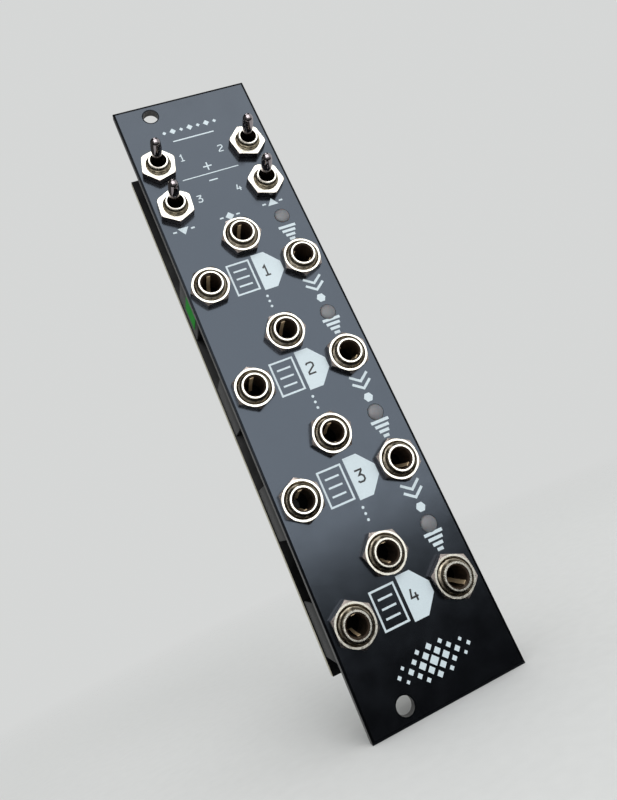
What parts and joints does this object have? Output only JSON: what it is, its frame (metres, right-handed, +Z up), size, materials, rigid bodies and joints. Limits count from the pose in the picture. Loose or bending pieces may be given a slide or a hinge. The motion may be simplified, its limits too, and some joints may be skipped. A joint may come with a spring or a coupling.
{
  "type": "eurorack module",
  "caption": "Narrow upright rack module: a black front panel with jack sockets, bat toggle switches and small indicator lights, and a circuit board with a power header behind it",
  "frame": {"origin": "On the rear face of the front panel, in the middle of the strip that lies against the upper rail of the rack", "axes": "+X is to the right as seen from the front, +Y runs into the rack, away from the front, and +Z is up, along the length of the panel"},
  "size_m": [0.03, 0.0312, 0.1285],
  "materials": {
    "panel_black": "glossy",
    "board_black": "satin",
    "jack_plastic": "glossy",
    "nickel": "plated",
    "chrome": "polished",
    "toggle_case": "plated",
    "light_lens": "frosted",
    "header_plastic": "matte",
    "chip_plastic": "matte",
    "capacitor_can": "satin"
  },
  "bodies": {
    "module": {"front_panel": "panel_black", "main_board": "board_black", "power_header": "header_plastic", "amplifier_chip": "chip_plastic", "buffer_chip_1": "chip_plastic", "buffer_chip_2": "chip_plastic", "capacitor_1": "capacitor_can", "capacitor_2": "capacitor_can", "indicator_light_1": "light_lens", "indicator_light_2": "light_lens", "indicator_light_3": "light_lens", "indicator_light_4": "light_lens", "jack_housing_in_1": "jack_plastic", "jack_housing_in_2": "jack_plastic", "jack_housing_in_3": "jack_plastic", "jack_housing_in_4": "jack_plastic", "jack_housing_cv_1": "jack_plastic", "jack_housing_cv_2": "jack_plastic", "jack_housing_cv_3": "jack_plastic", "jack_housing_cv_4": "jack_plastic", "jack_housing_out_1": "jack_plastic", "jack_housing_out_2": "jack_plastic", "jack_housing_out_3": "jack_plastic", "jack_housing_out_4": "jack_plastic", "jack_bushing_in_1": "nickel", "jack_bushing_in_2": "nickel", "jack_bushing_in_3": "nickel", "jack_bushing_in_4": "nickel", "jack_bushing_cv_1": "nickel", "jack_bushing_cv_2": "nickel", "jack_bushing_cv_3": "nickel", "jack_bushing_cv_4": "nickel", "jack_bushing_out_1": "nickel", "jack_bushing_out_2": "nickel", "jack_bushing_out_3": "nickel", "jack_bushing_out_4": "nickel", "jack_nut_in_1": "nickel", "jack_nut_in_2": "nickel", "jack_nut_in_3": "nickel", "jack_nut_in_4": "nickel", "jack_nut_cv_1": "nickel", "jack_nut_cv_2": "nickel", "jack_nut_cv_3": "nickel", "jack_nut_cv_4": "nickel", "jack_nut_out_1": "nickel", "jack_nut_out_2": "nickel", "jack_nut_out_3": "nickel", "jack_nut_out_4": "nickel", "toggle_body_1": "toggle_case", "toggle_body_2": "toggle_case", "toggle_body_3": "toggle_case", "toggle_body_4": "toggle_case", "toggle_nut_1": "nickel", "toggle_nut_2": "nickel", "toggle_nut_3": "nickel", "toggle_nut_4": "nickel"},
    "lever_1": {"toggle_lever_1": "chrome"},
    "lever_2": {"toggle_lever_2": "chrome"},
    "lever_3": {"toggle_lever_3": "chrome"},
    "lever_4": {"toggle_lever_4": "chrome"}
  },
  "joints": [
    {"name": "toggle_1", "type": "hinge", "parent": "module", "child": "lever_1", "pos_m": [-0.01032, -0.0026, -0.01175], "axis": [1, 0, 0], "range_deg": [0, 24]},
    {"name": "toggle_2", "type": "hinge", "parent": "module", "child": "lever_2", "pos_m": [0.00963, -0.0026, -0.01175], "axis": [1, 0, 0], "range_deg": [0, 24]},
    {"name": "toggle_3", "type": "hinge", "parent": "module", "child": "lever_3", "pos_m": [-0.01032, -0.0026, -0.02185], "axis": [1, 0, 0], "range_deg": [0, 24]},
    {"name": "toggle_4", "type": "hinge", "parent": "module", "child": "lever_4", "pos_m": [0.00963, -0.0026, -0.02185], "axis": [1, 0, 0], "range_deg": [0, 24]}
  ]
}
